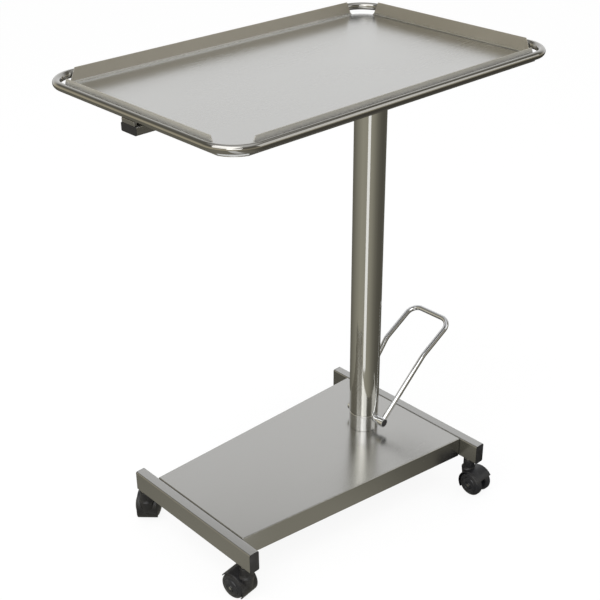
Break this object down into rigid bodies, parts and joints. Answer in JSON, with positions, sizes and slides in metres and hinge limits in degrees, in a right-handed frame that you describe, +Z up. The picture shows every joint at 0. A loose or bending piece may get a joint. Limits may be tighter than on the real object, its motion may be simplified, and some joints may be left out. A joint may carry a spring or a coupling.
{
  "type": "mayo instrument table",
  "caption": "Castored instrument stand: a lift-out steel tray in a tube frame swivels on a telescopic column that a foot pedal pumps up from an offset, sheet-covered base.",
  "frame": {"origin": "on the floor, under the middle of the tray at rest", "axes": "+Z up, +X along the tray towards the column, +Y towards the square long side of the base"},
  "size_m": [0.704, 0.45, 0.8723],
  "materials": {
    "satin_steel": "satin brushed stainless sheet",
    "tray_steel": "bright satin stainless sheet",
    "polished_steel": "mirror-polished stainless tube",
    "chrome": "bright chrome plate",
    "machined_steel": "turned, dull",
    "cast_housing": "painted grey, matt",
    "bronze": "turned bearing bronze",
    "black_plastic": "fine-grained, moulded",
    "wheel_plastic": "moulded, soft sheen",
    "bush_plastic": "natural, dull"
  },
  "bodies": {
    "base": {"base_cover": "satin_steel", "left_bar": "satin_steel", "right_bar": "satin_steel", "left_near_bar_cap": "black_plastic", "left_near_stem": "machined_steel", "left_far_bar_cap": "black_plastic", "left_far_stem": "machined_steel", "right_near_bar_cap": "black_plastic", "right_near_stem": "machined_steel", "right_far_bar_cap": "black_plastic", "right_far_stem": "machined_steel", "post_collar": "satin_steel", "inner_column": "chrome", "column_foot_plug": "machined_steel", "column_gland": "bronze", "pump_body": "cast_housing", "plunger_spring": "machined_steel", "shaft_bush_far": "chrome", "shaft_bush_near": "chrome"},
    "carriage": {"post_sleeve": "polished_steel", "slide_bush": "bush_plastic", "lift_ram": "chrome", "ram_piston": "machined_steel", "column_head": "machined_steel"},
    "carrier": {"swivel_saddle": "machined_steel", "support_arm": "satin_steel", "arm_cap_left": "black_plastic", "arm_cap_right": "black_plastic", "frame_pad_left": "satin_steel", "frame_pad_right": "satin_steel", "cross_arm_near": "satin_steel", "cross_arm_far": "satin_steel", "cross_arm_cap_near": "black_plastic", "cross_arm_cap_far": "black_plastic", "tray_frame": "polished_steel"},
    "tray_body": {"tray": "tray_steel"},
    "pedal": {"pedal_shaft": "chrome", "pedal_cam": "machined_steel", "pedal_fork": "chrome", "shaft_cap_far": "black_plastic", "shaft_cap_near": "black_plastic"},
    "plunger": {"pump_plunger": "machined_steel"},
    "left_near_castor": {"left_near_hood": "black_plastic", "left_near_axle": "machined_steel"},
    "left_near_roller_a": {"left_near_wheel_a": "wheel_plastic"},
    "left_near_roller_b": {"left_near_wheel_b": "wheel_plastic"},
    "left_far_castor": {"left_far_hood": "black_plastic", "left_far_axle": "machined_steel"},
    "left_far_roller_a": {"left_far_wheel_a": "wheel_plastic"},
    "left_far_roller_b": {"left_far_wheel_b": "wheel_plastic"},
    "right_near_castor": {"right_near_hood": "black_plastic", "right_near_axle": "machined_steel"},
    "right_near_roller_a": {"right_near_wheel_a": "wheel_plastic"},
    "right_near_roller_b": {"right_near_wheel_b": "wheel_plastic"},
    "right_far_castor": {"right_far_hood": "black_plastic", "right_far_axle": "machined_steel"},
    "right_far_roller_a": {"right_far_wheel_a": "wheel_plastic"},
    "right_far_roller_b": {"right_far_wheel_b": "wheel_plastic"}
  },
  "joints": [
    {"name": "column_lift", "type": "slide", "parent": "base", "child": "carriage", "axis": [0, 0, 1], "range_m": [0, 0.35]},
    {"name": "tray_swivel", "type": "hinge", "parent": "carriage", "child": "carrier", "pos_m": [0.144, 0, 0.82412], "axis": [0, 0, 1], "continuous": true},
    {"name": "tray_lift", "type": "slide", "parent": "carrier", "child": "tray_body", "axis": [0, 0, 1], "range_m": [0, 0.1]},
    {"name": "pedal_pivot", "type": "hinge", "parent": "base", "child": "pedal", "pos_m": [0.151, 0, 0.13103], "axis": [0, 1, 0], "range_deg": [0, 30], "stiffness_Nm_per_rad": 4, "springref_deg": -17.19},
    {"name": "plunger_slide", "type": "slide", "parent": "base", "child": "plunger", "axis": [0, 0, -1], "range_m": [0, 0.006], "deforming": ["plunger_spring"]},
    {"name": "left_near_swivel", "type": "hinge", "parent": "base", "child": "left_near_castor", "pos_m": [-0.261, -0.1145, 0.06722], "axis": [0, 0, 1], "continuous": true},
    {"name": "left_near_roll_a", "type": "hinge", "parent": "left_near_castor", "child": "left_near_roller_a", "pos_m": [-0.26319, -0.09663, 0.02382], "axis": [-0.9925, -0.1219, 0], "continuous": true},
    {"name": "left_near_roll_b", "type": "hinge", "parent": "left_near_castor", "child": "left_near_roller_b", "pos_m": [-0.26319, -0.09663, 0.02382], "axis": [-0.9925, -0.1219, 0], "continuous": true},
    {"name": "left_far_swivel", "type": "hinge", "parent": "base", "child": "left_far_castor", "pos_m": [-0.261, 0.1705, 0.06722], "axis": [0, 0, 1], "continuous": true},
    {"name": "left_far_roll_a", "type": "hinge", "parent": "left_far_castor", "child": "left_far_roller_a", "pos_m": [-0.24827, 0.18323, 0.02382], "axis": [-0.7071, 0.7071, 0], "continuous": true},
    {"name": "left_far_roll_b", "type": "hinge", "parent": "left_far_castor", "child": "left_far_roller_b", "pos_m": [-0.24827, 0.18323, 0.02382], "axis": [-0.7071, 0.7071, 0], "continuous": true},
    {"name": "right_near_swivel", "type": "hinge", "parent": "base", "child": "right_near_castor", "pos_m": [0.252, -0.1825, 0.06722], "axis": [0, 0, 1], "continuous": true},
    {"name": "right_near_roll_a", "type": "hinge", "parent": "right_near_castor", "child": "right_near_roller_a", "pos_m": [0.252, -0.2005, 0.02382], "axis": [1, 0, 0], "continuous": true},
    {"name": "right_near_roll_b", "type": "hinge", "parent": "right_near_castor", "child": "right_near_roller_b", "pos_m": [0.252, -0.2005, 0.02382], "axis": [1, 0, 0], "continuous": true},
    {"name": "right_far_swivel", "type": "hinge", "parent": "base", "child": "right_far_castor", "pos_m": [0.252, 0.1705, 0.06722], "axis": [0, 0, 1], "continuous": true},
    {"name": "right_far_roll_a", "type": "hinge", "parent": "right_far_castor", "child": "right_far_roller_a", "pos_m": [0.26891, 0.17666, 0.02382], "axis": [-0.342, 0.9397, 0], "continuous": true},
    {"name": "right_far_roll_b", "type": "hinge", "parent": "right_far_castor", "child": "right_far_roller_b", "pos_m": [0.26891, 0.17666, 0.02382], "axis": [-0.342, 0.9397, 0], "continuous": true}
  ],
  "couplings": [
    {"joint": "plunger_slide", "follows": "pedal_pivot", "m_per_rad": 0.010084}
  ]
}
